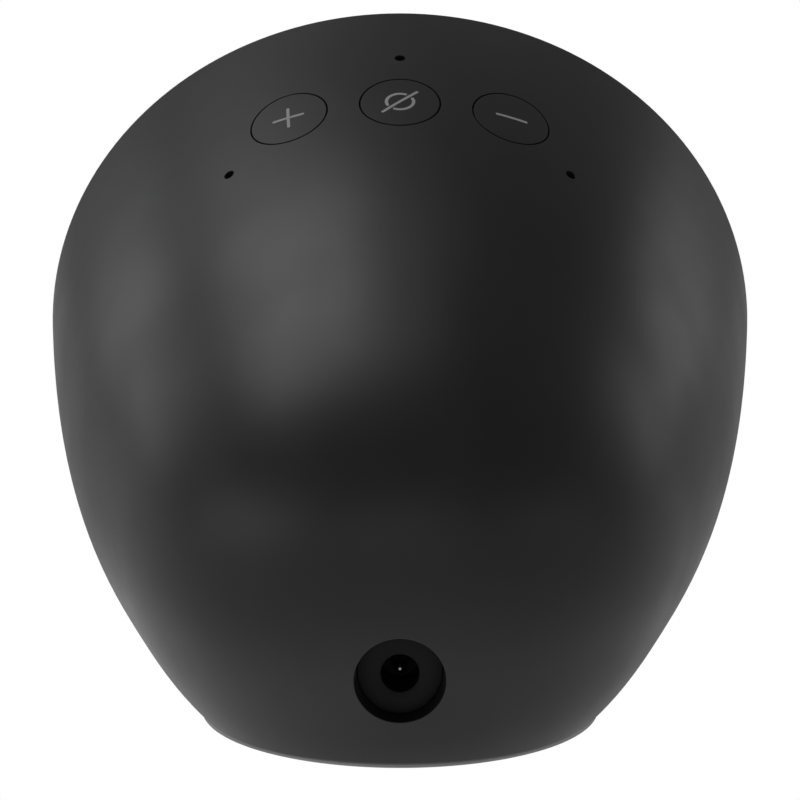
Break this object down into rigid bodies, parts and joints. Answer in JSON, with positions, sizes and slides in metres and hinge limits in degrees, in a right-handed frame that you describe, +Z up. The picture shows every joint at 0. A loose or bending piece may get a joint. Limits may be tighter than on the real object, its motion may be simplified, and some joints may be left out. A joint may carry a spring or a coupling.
{
  "type": "smart home hub",
  "caption": "Round-faced tabletop smart home hub with a domed back: screen and speaker in front, push buttons and microphones on top, power inlet behind.",
  "frame": {"origin": "centre of the bounding box's bottom face, on the table under the foot", "axes": "+X to the right seen from the front, +Y to the back where the inlet is, +Z up; the round front faces -Y and leans back"},
  "size_m": [0.113, 0.1109, 0.103],
  "materials": {
    "shell": "matt black, faint texture",
    "button": "matt black",
    "front": "satin black",
    "window": "polished dark cover",
    "panel": "dark display stack",
    "foot": "matt grey",
    "cloth": "fine acoustic weave",
    "inner_plastic": "moulded, satin",
    "board": "solder mask",
    "flexible_circuit": "polyimide film",
    "steel": "plain",
    "aluminium": "plain",
    "contact": "bright plating",
    "ferrite": "matt ground ferrite",
    "cone": "coated paper",
    "soft_rubber": "matt",
    "lead_sleeve": "satin sleeve"
  },
  "bodies": {
    "enclosure": {"antenna_left": "flexible_circuit", "antenna_right": "flexible_circuit", "base_plate": "inner_plastic", "base_screw_1": "steel", "base_screw_2": "steel", "base_screw_3": "steel", "board_connector": "inner_plastic", "board_screw_1": "steel", "board_screw_2": "steel", "board_screw_3": "steel", "board_screw_4": "steel", "button_board": "board", "button_carrier": "inner_plastic", "button_flex": "flexible_circuit", "carrier_screw_1": "steel", "carrier_screw_2": "steel", "display_bracket": "aluminium", "display_flex": "flexible_circuit", "display_panel": "panel", "display_window": "window", "driver_screw_1": "steel", "driver_screw_2": "steel", "driver_screw_3": "steel", "driver_screw_4": "steel", "front_frame": "front", "grille_cloth": "cloth", "heat_spreader": "aluminium", "jack_housing": "inner_plastic", "jack_lead": "lead_sleeve", "jack_pin": "contact", "jack_spring": "contact", "main_board": "board", "mic_centre": "steel", "mic_gasket_centre": "soft_rubber", "mic_gasket_left": "soft_rubber", "mic_gasket_right": "soft_rubber", "mic_left": "steel", "mic_right": "steel", "rear_shell": "shell", "rubber_foot": "foot", "shield_can": "steel", "speaker_basket": "steel", "speaker_box": "inner_plastic", "speaker_grille": "front", "speaker_lead": "lead_sleeve", "speaker_magnet": "ferrite", "speaker_surround": "soft_rubber", "switch_body_mic_mute": "inner_plastic", "switch_body_volume_down": "inner_plastic", "switch_body_volume_up": "inner_plastic"},
    "volume_up_button": {"button_volume_up": "button"},
    "volume_up_plunger": {"switch_plunger_volume_up": "contact"},
    "mic_mute_button": {"button_mic_mute": "button"},
    "mic_mute_plunger": {"switch_plunger_mic_mute": "contact"},
    "volume_down_button": {"button_volume_down": "button"},
    "volume_down_plunger": {"switch_plunger_volume_down": "contact"},
    "cone": {"speaker_cone": "cone"}
  },
  "joints": [
    {"name": "volume_up_press", "type": "slide", "parent": "enclosure", "child": "volume_up_button", "axis": [-0.3083, -0.4669, -0.8288], "range_m": [0, 0.0004], "stiffness_N_per_m": 4000},
    {"name": "volume_up_switch", "type": "slide", "parent": "enclosure", "child": "volume_up_plunger", "axis": [-0.3083, -0.4669, -0.8288], "range_m": [0, 0.0004]},
    {"name": "mic_mute_press", "type": "slide", "parent": "enclosure", "child": "mic_mute_button", "axis": [0, -0.4828, -0.8757], "range_m": [0, 0.0004], "stiffness_N_per_m": 4000},
    {"name": "mic_mute_switch", "type": "slide", "parent": "enclosure", "child": "mic_mute_plunger", "axis": [0, -0.4828, -0.8757], "range_m": [0, 0.0004]},
    {"name": "volume_down_press", "type": "slide", "parent": "enclosure", "child": "volume_down_button", "axis": [0.3083, -0.4669, -0.8288], "range_m": [0, 0.0004], "stiffness_N_per_m": 4000},
    {"name": "volume_down_switch", "type": "slide", "parent": "enclosure", "child": "volume_down_plunger", "axis": [0.3083, -0.4669, -0.8288], "range_m": [0, 0.0004]},
    {"name": "cone_travel", "type": "slide", "parent": "enclosure", "child": "cone", "axis": [0, -0.9466, 0.3223], "range_m": [-0.001, 0.001], "stiffness_N_per_m": 1500, "deforming": ["speaker_surround"]}
  ],
  "couplings": [
    {"joint": "volume_up_switch", "follows": "volume_up_press", "ratio": 1},
    {"joint": "mic_mute_switch", "follows": "mic_mute_press", "ratio": 1},
    {"joint": "volume_down_switch", "follows": "volume_down_press", "ratio": 1}
  ]
}
